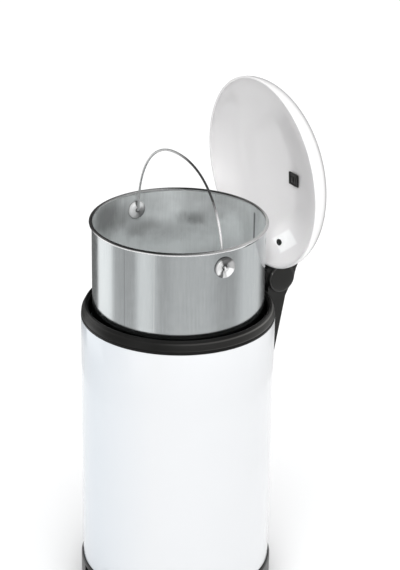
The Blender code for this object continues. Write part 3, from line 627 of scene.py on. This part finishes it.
# the ring on the body's edge: a groove low outside, a bevel over it, a rounded crown and a skirt inside
def topCollar():
    base = bodyTop + gap
    outline = [
        (collar["outer"], base, 0.0002), (collar["outer"], bodyTop + 0.0034, 0.0005),
        (0.1450, bodyTop + 0.0040, 0.0003), (0.1450, bodyTop + 0.0047, 0.0003),
        (0.1457, bodyTop + 0.0053, 0.0005), (0.1453, bodyTop + 0.0096, 0.0016),
        (0.1431, bodyTop + 0.0146, 0.0018), (0.1419, bodyTop + 0.0158, 0.0004),
        (0.1415, bodyTop + 0.0158, 0.0003), (0.1404, bodyTop + collar["up"], 0.0016),
        (0.1376, bodyTop + collar["up"], 0.0013), (0.1368, bodyTop + 0.0172, 0.0004),
        (0.1360, bodyTop + 0.0168, 0.0004), (collar["inner"], bodyTop + 0.0150, 0.0008),
        (collar["inner"], bodyTop - collar["down"]), (collar["skirt"], bodyTop - collar["down"]),
        (collar["skirt"], base),
    ]
    shape = spun(rounded(outline, True), collar["steps"], True)
    keep(shape, "collarRing", "can", "black_plastic", ["top_collar"], [pieceFinishes["collar"]], 30.0)


foot = {"outer": 0.149, "inner": 0.1435, "top": 0.0525, "shelf": 0.0475, "shelfInner": 0.132,
        "slotLow": 0.0065, "slotHigh": 0.0468, "slotTurn": -90.0, "slotHalf": 12.0, "spigot": 0.008,
        "steps": 180}


# the plinth, with a groove round it and the pedal's window at the front
def baseRing():
    spigot = bodyRadius - can["wall"] - gap
    shelfTop = foot["shelf"] + 0.003
    outline = [
        (spigot, foot["top"] + foot["spigot"], 0.0006), (spigot, foot["top"] - gap),
        (bodyRadius + 0.0012, foot["top"] - gap, 0.0004), (foot["outer"], foot["top"] - 0.0035, 0.0012),
        (foot["outer"], foot["slotHigh"]), (foot["outer"], 0.0150, 0.0003),
        (foot["outer"] - 0.0006, 0.0144, 0.0003), (foot["outer"] - 0.0006, 0.0136, 0.0003),
        (foot["outer"], 0.0130, 0.0003), (foot["outer"], foot["slotLow"]), (foot["outer"], 0.0020, 0.0010),
        (foot["outer"] - 0.0018, 0.0, 0.0006), (foot["inner"], 0.0), (foot["inner"], foot["slotLow"]),
        (foot["inner"], foot["slotHigh"]), (foot["inner"], foot["shelf"]),
        (foot["shelfInner"], foot["shelf"]), (foot["shelfInner"], shelfTop), (spigot - 0.0022, shelfTop),
        (spigot - 0.0022, foot["top"] + foot["spigot"]),
    ]
    shape = spun(rounded(outline, True), foot["steps"], True)
    cutWindow(shape, foot["slotTurn"], foot["slotHalf"], foot["slotLow"], foot["slotHigh"])
    keep(shape, "baseRing", "can", "black_plastic", ["base_ring"])


cap = {"radius": 0.0232, "thick": 0.0067, "inside": 0.0228, "steps": 96}


# round covers on the hinge: a flat face in a fine ring groove, with a rolled edge
def hingeCaps():
    thick = cap["thick"]
    outline = [
        (0.0, thick - 0.0004), (0.0120, thick - 0.0005), (cap["radius"] - 0.0038, thick - 0.0008, 0.0004),
        (cap["radius"] - 0.0035, thick - 0.0014, 0.0003), (cap["radius"] - 0.0030, thick - 0.0014, 0.0003),
        (cap["radius"] - 0.0027, thick - 0.0008, 0.0003), (cap["radius"] - 0.0010, thick - 0.0011, 0.0008),
        (cap["radius"], thick - 0.0030, 0.0010), (cap["radius"], 0.0, 0.0003), (0.0, 0.0),
    ]
    hinge = jointPlaces["lid_hinge"]
    for side, word in ((-1, "Left"), (1, "Right")):
        place = facing(side, side * cap["inside"], hinge.y, hinge.z)
        shape = spun(rounded(outline), cap["steps"], False, place)
        keep(shape, "hingeCap" + word, "can", "black_plastic", ["hinge_cap_" + word.lower()],
             [pieceFinishes["hinge"]])


bodyWall()
topCollar()
baseRing()
hingeCaps()
softened("hingeBracket", "can", "hinge_bracket", 0.0007, [pieceFinishes["hinge"]])
print("can made")


# the lid's pieces are shaped with the lid closed and then turned open on its hinge
lid = {"radius": 0.1476, "depth": 0.064, "wall": 0.0011, "lip": 0.0034, "lipHigh": 0.0024,
       "rows": 56, "steps": 360, "plugAt": 0.121, "clipAt": 0.024,
       "seatAcross": 0.0150, "seatAlong": 0.0160, "seatSunk": 0.0008, "seatReach": 0.03, "seatCurve": 0.1}
hingeAt = jointPlaces["lid_hinge"]
lidPlace = (Matrix.Translation(hingeAt) @ Matrix.Rotation(-radians(jointRanges["lid_hinge"][1]), 4, "X")
            @ Matrix.Translation((0, -hingeAt.y, bodyTop + lidPlane - hingeAt.z)))


# the closed dome's height over the lid's edge, outside or, with the wall's thickness, inside
def domeHeight(radius, wall=0.0):
    share = min(1.0, radius / (lid["radius"] - wall))
    return (lid["depth"] - wall) * sqrt(1.0 - share * share)


# a flat diamond pressed into the dome, where the arm's screw pulls it against the arm
def pressSeat(shape):
    at = lid["plugAt"]
    slope = -(lid["depth"] / lid["radius"]) ** 2 * at / domeHeight(at)
    normal = Vector((0.0, -slope, 1.0)).normalized()
    along = Vector((0.0, normal.z, -normal.y))
    middle = Vector((0.0, at, domeHeight(at)))
    for vertex in shape.verts:
        offset = vertex.co - middle
        reach = abs(offset.x) / lid["seatAcross"] + abs(offset.dot(along)) / lid["seatAlong"]
        share = max(0.0, min(1.0, (1.0 - reach) * 5.0))
        if share and offset.length < lid["seatReach"] and vertex.co.z > 0.01:
            fall = 0.5 * offset.length ** 2 / lid["seatCurve"]  # how far the dome has dropped away by here
            isInside = offset.dot(normal) < -0.0006 - fall
            sunk = -lid["seatSunk"] - offset.dot(normal)
            if isInside:
                sunk -= lid["wall"]
            vertex.co += normal * sunk * share


# an elliptical dome of sheet with its edge rolled inwards
def lidDome():
    turns = [pi / 2 * k / lid["rows"] for k in range(lid["rows"])]
    outer = [(lid["radius"] * sin(t), lid["depth"] * cos(t)) for t in turns]
    innerRadius = lid["radius"] - lid["wall"]
    innerDepth = lid["depth"] - lid["wall"]
    inner = [(innerRadius * sin(t), innerDepth * cos(t)) for t in turns]
    inner = [point for point in inner if point[1] > lid["lipHigh"] + 0.0012]
    lipIn = lid["radius"] - lid["lip"]
    edge = rounded([outer[-1], (lid["radius"], 0.0, 0.0011), (lipIn, 0.0, 0.0010),
                    (lipIn, lid["lipHigh"], 0.0009), (innerRadius * 0.999, lid["lipHigh"] + 0.0002, 0.0003),
                    inner[-1]], False, 5)
    shape = spun(outer[:-1] + edge[:-1] + inner[::-1], lid["steps"])
    pressSeat(shape)
    bmesh.ops.transform(shape, matrix=lidPlace, verts=shape.verts)
    keep(shape, "lidDome", "lid", "white_enamel", ["lid_shell"], [pieceFinishes["lid"]])


plug = {"radius": 0.0052, "steps": 64}


# the screw's round head inside the lid, with a recess in it
def lidPlug():
    inside = domeHeight(lid["plugAt"] + plug["radius"], lid["wall"]) - 0.0002
    outline = [
        (0.0, 0.0020), (0.0040, 0.0020), (plug["radius"], 0.0, 0.0002), (plug["radius"], -0.0016, 0.0008),
        (0.0034, -0.0028, 0.0008), (0.0024, -0.0028, 0.0003), (0.0019, -0.0018, 0.0003), (0.0, -0.0018),
    ]
    place = lidPlace @ Matrix.Translation((0, lid["plugAt"], inside))
    shape = spun(rounded(outline), plug["steps"], False, place)
    keep(shape, "lidPlug", "lid", "black_plastic", ["lid_arm_screw"])


clip = {"across": 0.0230, "along": 0.0196, "soft": 0.0004}


# the clip's head: a bevelled plate with a frame, two ribs and a sprung tongue
def lidClip():
    reach = sqrt((clip["across"] / 2) ** 2 + (lid["clipAt"] + clip["along"] / 2) ** 2)
    inside = domeHeight(reach, lid["wall"]) - gap
    shape = bmesh.new()
    blocks = [  # each block's middle and size
        (0.0, 0.0, -0.00105, clip["across"], clip["along"], 0.0021),
        (-0.0098, 0.0, -0.0016, 0.0030, clip["along"], 0.0028),
        (0.0098, -0.0020, -0.0016, 0.0030, clip["along"] - 0.0040, 0.0028),
        (0.0, 0.0085, -0.0016, 0.0140, 0.0022, 0.0028),
        (0.0, -0.0075, -0.0015, 0.0150, 0.0018, 0.0026),
        (-0.0022, 0.0004, -0.0016, 0.0062, 0.0092, 0.0028),
        (0.0048, 0.0006, -0.0014, 0.0030, 0.0110, 0.0024),
        (0.0, 0.0, 0.0004, 0.0150, 0.0120, 0.0028),
    ]
    for x, y, z, wide, long, tall in blocks:
        grown = Matrix.Translation((x, y, z)) @ Matrix.Diagonal((wide, long, tall, 1.0))
        made = bmesh.ops.create_cube(shape, size=1.0, matrix=grown)
        edges = list({edge for vertex in made["verts"] for edge in vertex.link_edges})
        bmesh.ops.bevel(shape, geom=edges, offset=clip["soft"], affect="EDGES", segments=2, profile=0.5,
                        material=-1)
    place = lidPlace @ Matrix.Translation((0, lid["clipAt"], inside))
    bmesh.ops.transform(shape, matrix=place, verts=shape.verts)
    keep(shape, "lidClip", "lid", "black_plastic", ["lid_clip"])


lidDome()
lidPlug()
lidClip()
softened("lidArm", "lid", "lid_arm", 0.0009, [pieceFinishes["hinge"]])
print("lid made")


bucket = {"radius": 0.129, "wall": 0.0007, "tall": 0.3715, "steps": 360, "rows": 12,
          "seam": 83.0, "seamHalf": 1.6, "seamProud": 0.0010, "seamSunk": 0.0003,
          "bead": 0.0027, "beadAt": 0.1303, "beadPoints": 20, "slit": (15.0, 33.0), "slitLift": 0.0009,
          "rings": (0.030, 0.062, 0.094), "bottomSteps": 200}


def turnOf(vertex):
    return degrees(atan2(vertex.co.y, vertex.co.x))


# the wall, a folded seam up its back, and a second finish inside
def bucketWall():
    top = rimTop - 0.0030
    low = rimTop - bucket["tall"]
    inner = bucket["radius"] - bucket["wall"]
    rows = bucket["rows"]
    outside = [(bucket["radius"], top - (top - low - 0.002) * k / rows) for k in range(rows + 1)]
    outside += [(bucket["radius"] - 0.0003, low + 0.0004), (bucket["radius"] - bucket["wall"] / 2, low)]
    insideRows = [(inner, z) for _, z in outside[:rows + 1]]
    shape = spun(outside + insideRows[::-1], bucket["steps"], True)
    for vertex in shape.verts:
        away = abs(turnOf(vertex) - bucket["seam"])
        if away < bucket["seamHalf"]:
            radius = Vector((vertex.co.x, vertex.co.y, 0.0))
            isInside = radius.length < bucket["radius"] - bucket["wall"] / 2
            depth = bucket["seamProud"] if isInside else bucket["seamSunk"]
            vertex.co -= radius.normalized() * depth
    for face in shape.faces:
        at = face.calc_center_median()
        if at.x * face.normal.x + at.y * face.normal.y < 0:
            face.material_index = 1
    sheets = [finishes["zinc_steel"], pieceFinishes["lining"]]
    keep(shape, "bucketWall", "bucket", "zinc_steel", ["bucket_shell"], sheets, 25.0)


# the rolled edge over its wire; for a short way the roll's end stands off the wall
def bucketBead():
    count = bucket["beadPoints"]
    middle = rimTop - bucket["bead"]
    ring = [(bucket["beadAt"] + bucket["bead"] * cos(t), middle + bucket["bead"] * sin(t))
            for t in [-2 * pi * k / count + pi / 2 for k in range(count)]]
    shape = spun(ring, bucket["steps"], True)
    first, last = bucket["slit"]
    for vertex in shape.verts:
        turn = turnOf(vertex)
        ease = max(0.0, min(1.0, (turn - first) / 3.0, (last - turn) / 3.0))
        radius = sqrt(vertex.co.x ** 2 + vertex.co.y ** 2)
        if ease and vertex.co.z < middle - 0.0005 and radius > bucket["radius"] + 0.0002:
            vertex.co.z += bucket["slitLift"] * ease
    keep(shape, "bucketBead", "bucket", "zinc_steel", ["bucket_rim"], [pieceFinishes["bead"]])


# a pressed disc with rings that stiffen it and an edge turned down to the wall's foot
def bucketBottom():
    edge = bucket["radius"] - bucket["wall"] - gap
    low = rimTop - bucket["tall"]
    top = low + 0.0068
    sunk = low + 0.0052
    under = low + 0.0044
    outline = [(0.0, top)]
    for step in bucket["rings"]:
        outline += [(step, top, 0.001), (step + 0.003, sunk, 0.001), (step + 0.006, sunk, 0.001),
                    (step + 0.009, top, 0.001)]
    outline += [(edge - 0.007, top, 0.002), (edge - 0.003, low + 0.0078, 0.002), (edge, low + 0.0088),
                (edge, low + 0.0005), (edge - 0.0008, low + 0.0005), (edge - 0.0010, under), (0.0, under)]
    shape = spun(rounded(outline), bucket["bottomSteps"])
    keep(shape, "bucketBottom", "bucket", "zinc_steel", ["bucket_bottom"], [pieceFinishes["lining"]])


ear = {"outer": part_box("ear_outer_right")[1].y, "inner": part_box("ear_inner_right")[1].y, "bore": 0.0023,
       "steps": 72}


# outside, a dished boss with a rolled edge; inside, a low domed boss
def ears():
    big = ear["outer"]
    small = ear["inner"]
    outside = [
        (ear["bore"], 0.0005, 0.0002), (big * 0.36, 0.0005, 0.0008), (big * 0.56, 0.0012, 0.0014),
        (big * 0.76, 0.0030, 0.0014), (big * 0.86, 0.0038, 0.0010), (big * 0.94, 0.0034, 0.0008),
        (big, 0.0014, 0.0008), (big, 0.0), (ear["bore"], 0.0),
    ]
    inside = [
        (ear["bore"], 0.0026, 0.0003), (small * 0.36, 0.0026, 0.0014), (small * 0.62, 0.0022, 0.0016),
        (small * 0.80, 0.0012, 0.0008), (small * 0.90, 0.0009, 0.0006), (small, 0.0003, 0.0002), (small, 0.0),
        (ear["bore"], 0.0),
    ]
    height = rimTop - bucketEars
    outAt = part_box("ear_outer_right")[0].x
    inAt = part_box("ear_inner_right")[1].x
    for side, word in ((-1, "Left"), (1, "Right")):
        boss = spun(rounded(outside, True), ear["steps"], True, facing(side, side * outAt, 0, height))
        keep(boss, "earOuter" + word, "bucket", "bright_steel", ["ear_outer_" + word.lower()],
             [pieceFinishes["outerBoss"]])
        boss = spun(rounded(inside, True), ear["steps"], True, facing(-side, side * inAt, 0, height))
        keep(boss, "earInner" + word, "bucket", "bright_steel", ["ear_inner_" + word.lower()],
             [pieceFinishes["innerBoss"]])


bail = {"wire": 0.00175, "half": 0.1215, "tall": 0.130, "power": 2 / 2.2, "curlAt": 0.1317, "curl": 0.0020,
        "curlEnd": -0.0050, "legBend": 0.0030, "bendPoints": 8, "points": 64}


# half the bail, from its curled end to its crown, as across and up from the ears' axis
def bailHalf():
    curl = bail["curl"]
    bend = bail["legBend"]
    count = bail["bendPoints"]
    half = [(bail["curlAt"], bail["curlEnd"]), (bail["curlAt"], -0.0035), (bail["curlAt"], -curl)]
    for k in range(1, count + 1):
        t = pi / 2 * k / count
        half.append((bail["curlAt"] - curl + curl * cos(t), -curl + curl * sin(t)))
    for k in range(count + 1):
        t = -pi / 2 - pi / 2 * k / count
        half.append((bail["half"] + bend + bend * cos(t), bend + bend * sin(t)))
    for k in range(1, bail["points"] + 1):
        t = pi / 2 * k / bail["points"]
        up = bail["tall"] * sin(t) ** bail["power"]
        across = bail["half"] * max(0.0, cos(t)) ** bail["power"]
        if up > bend + 0.003:
            half.append((across, up))
    return half


# a round wire along both halves
def bailWire():
    pivot = rimTop - bucketEars
    half = bailHalf()
    route = [(x, 0.0, pivot + z) for x, z in half] + [(-x, 0.0, pivot + z) for x, z in half[-2::-1]]
    curve = bpy.data.curves.new("bail", "CURVE")
    curve.dimensions = "3D"
    curve.bevel_depth = bail["wire"]
    curve.bevel_resolution = 6
    curve.use_fill_caps = True
    line = curve.splines.new("POLY")
    line.points.add(len(route) - 1)
    for point, at in zip(line.points, route):
        point.co = (*at, 1.0)
    helper = bpy.data.objects.new("bailCurve", curve)
    bpy.context.scene.collection.objects.link(helper)
    bpy.context.view_layer.update()
    graph = bpy.context.evaluated_depsgraph_get()
    shape = bmesh.new()
    shape.from_mesh(bpy.data.meshes.new_from_object(helper.evaluated_get(graph)))
    bpy.data.objects.remove(helper, do_unlink=True)
    bmesh.ops.remove_doubles(shape, verts=shape.verts, dist=0.000002)
    bmesh.ops.recalc_face_normals(shape, faces=shape.faces)
    keep(shape, "bailWire", "bail", "bright_steel", ["bail_wire"], [pieceFinishes["wire"]])


bucketWall()
bucketBead()
bucketBottom()
ears()
bailWire()
print("bucket made")


softened("pedalLever", "pedal", "pedal_lever", 0.0005)
softened("pedalPad", "pedal", "pedal_pad", 0.0004)
print("pedal made")


studio = {"floor": 30.0, "floorSteps": 96, "floorTones": (0.955, 0.97), "floorDrift": 3.0,
          "world": 0.745, "worldTint": (0.99, 0.995, 1.0),
          "sun": 1.4, "sunAngle": 55.0, "sunFrom": (0.67, -0.267, 1.5),
          "cardRadius": 0.8, "cardHigh": 1.3, "cardLift": 0.002, "cardSteps": 128}


def floorDisc():
    shape = bmesh.new()
    bmesh.ops.create_circle(shape, cap_ends=True, segments=studio["floorSteps"], radius=studio["floor"])
    mesh = bpy.data.meshes.new("studioFloor")
    shape.to_mesh(mesh)
    shape.free()
    finish = Finish("pale_floor", {"Roughness": 0.9, "Specular IOR Level": 0.0})
    drift = finish.noise(finish.place(), studio["floorDrift"], 2.0)
    darker, lighter = studio["floorTones"]
    finish.set("Base Color", finish.blend(drift, grey(darker), grey(lighter)))
    mesh.materials.append(finish.material)
    floor = bpy.data.objects.new("studioFloor", mesh)
    bpy.context.scene.collection.objects.link(floor)


# reflector cards stand round and over the object and are seen only in its gloss: (turn, brightness)
cards = [(-180, 0.17), (-157, 0.15), (-154, 1.28), (-124, 1.24), (-118, 0.54), (-86, 0.48), (-79, 1.00),
         (-64, 0.94), (-54, 0.52), (-46, 0.50), (-36, 0.62), (6, 0.63), (22, 0.48), (42, 0.47), (58, 0.80),
         (92, 0.80), (106, 0.20), (118, 0.08), (146, 0.07), (152, 0.17), (180, 0.17)]
ceiling = [(-180, 0.20), (-60, 0.16), (-38, 0.14), (-20, 0.45), (2, 0.85), (34, 0.80), (60, 0.30),
           (120, 0.14), (180, 0.20)]
cardGlow = 1.30  # what a brightness is a share of
skirt = {"high": 0.150, "sharp": 14.0, "glow": 0.82}  # the cards' white foot


# light that changes round the ring, over a white foot
def glowFinish(name, table):
    unlit = {"Base Color": grey(0.0), "Specular IOR Level": 0.0, "Emission Strength": cardGlow}
    finish = Finish(name, unlit)
    x, y, z = finish.split(finish.place())
    glow = finish.tonesRound(finish.angle(y, x), [(turn, light / cardGlow) for turn, light in table])
    low = finish.clamp((skirt["high"] - z) * skirt["sharp"])
    finish.set("Emission Color", finish.blend(low, glow, grey(skirt["glow"] / cardGlow)))
    return finish.material


def cardRing():
    shape = bmesh.new()
    radius, tall, lift = studio["cardRadius"], studio["cardHigh"], studio["cardLift"]
    steps = studio["cardSteps"]
    bmesh.ops.create_cone(shape, cap_ends=False, segments=steps, radius1=radius, radius2=radius, depth=tall,
                          matrix=Matrix.Translation((0, 0, tall / 2 + lift)))
    walls = list(shape.faces)
    bmesh.ops.create_circle(shape, cap_ends=True, segments=steps, radius=radius,
                            matrix=Matrix.Translation((0, 0, tall + lift)))
    for face in shape.faces:
        face.material_index = 0 if face in walls else 1
    mesh = bpy.data.meshes.new("reflectorCards")
    shape.to_mesh(mesh)
    shape.free()
    mesh.materials.append(glowFinish("card_glow", cards))
    mesh.materials.append(glowFinish("ceiling_glow", ceiling))
    ring = bpy.data.objects.new("reflectorCards", mesh)
    bpy.context.scene.collection.objects.link(ring)
    ring.visible_camera = False
    ring.visible_diffuse = False
    ring.visible_shadow = False
    ring.visible_transmission = False


# name, place, aim, size, power and spread of each box
softBoxes = [("lidBox", (1.05, -0.10, 0.86), (-0.03, 0.14, 0.68), 0.30, 0.15, 34.0),
             ("topBox", (0.30, -0.30, 1.45), (0.0, 0.08, 0.58), 0.45, 0.20, 50.0),
             ("lowBox", (1.20, -0.75, 1.20), (0.03, 0.16, 0.545), 0.06, 0.011, 5.0)]


# an even pale sky, a wide soft sun and the soft boxes
def lights():
    world = bpy.data.worlds.new("studio")
    bpy.context.scene.world = world
    world.use_nodes = True
    glow = world.node_tree.nodes["Background"]
    glow.inputs["Color"].default_value = grey(1.0, studio["worldTint"])
    glow.inputs["Strength"].default_value = studio["world"]
    sun = bpy.data.lights.new("softSun", "SUN")
    sun.energy = studio["sun"]
    sun.angle = radians(studio["sunAngle"])
    lamp = bpy.data.objects.new("softSun", sun)
    bpy.context.scene.collection.objects.link(lamp)
    lamp.rotation_euler = Vector(studio["sunFrom"]).to_track_quat("Z", "Y").to_euler()
    for name, lightAt, aim, size, power, spread in softBoxes:
        area = bpy.data.lights.new(name, "AREA")
        area.size = size
        area.energy = power
        area.spread = radians(spread)
        lightBox = bpy.data.objects.new(name, area)
        bpy.context.scene.collection.objects.link(lightBox)
        lightBox.location = lightAt
        lightBox.rotation_euler = (Vector(lightAt) - Vector(aim)).to_track_quat("Z", "Y").to_euler()
        lightBox.visible_camera = False


shot = {"azimuth": 58.6, "elevation": 23.79, "roll": 0.88, "distance": 2.9098, "lens": 122.88,
        "aside": 0.0324, "above": 0.04733}


# the camera looks at a point over the body's top edge, from the front right
def camera():
    turn = radians(shot["azimuth"])
    tilt = radians(shot["elevation"])
    roll = radians(shot["roll"])
    right = Vector((cos(turn), sin(turn), 0.0))
    back = Vector((sin(turn) * cos(tilt), -cos(turn) * cos(tilt), sin(tilt)))
    up = back.cross(right)
    rolledRight = right * cos(roll) + up * sin(roll)
    rolledUp = up * cos(roll) - right * sin(roll)
    aim = right * shot["aside"] + Vector((0, 0, bodyTop + shot["above"]))
    lens = bpy.data.cameras.new("studioCamera")
    lens.lens = shot["lens"]
    lens.clip_end = 50.0
    eye = bpy.data.objects.new("studioCamera", lens)
    bpy.context.scene.collection.objects.link(eye)
    axes = Matrix((rolledRight, rolledUp, back)).transposed().to_4x4()
    eye.matrix_world = Matrix.Translation(aim + back * shot["distance"]) @ axes
    bpy.context.scene.camera = eye


floorDisc()
cardRing()
lights()
camera()
bpy.context.scene.view_settings.view_transform = "Standard"
print("studio made")
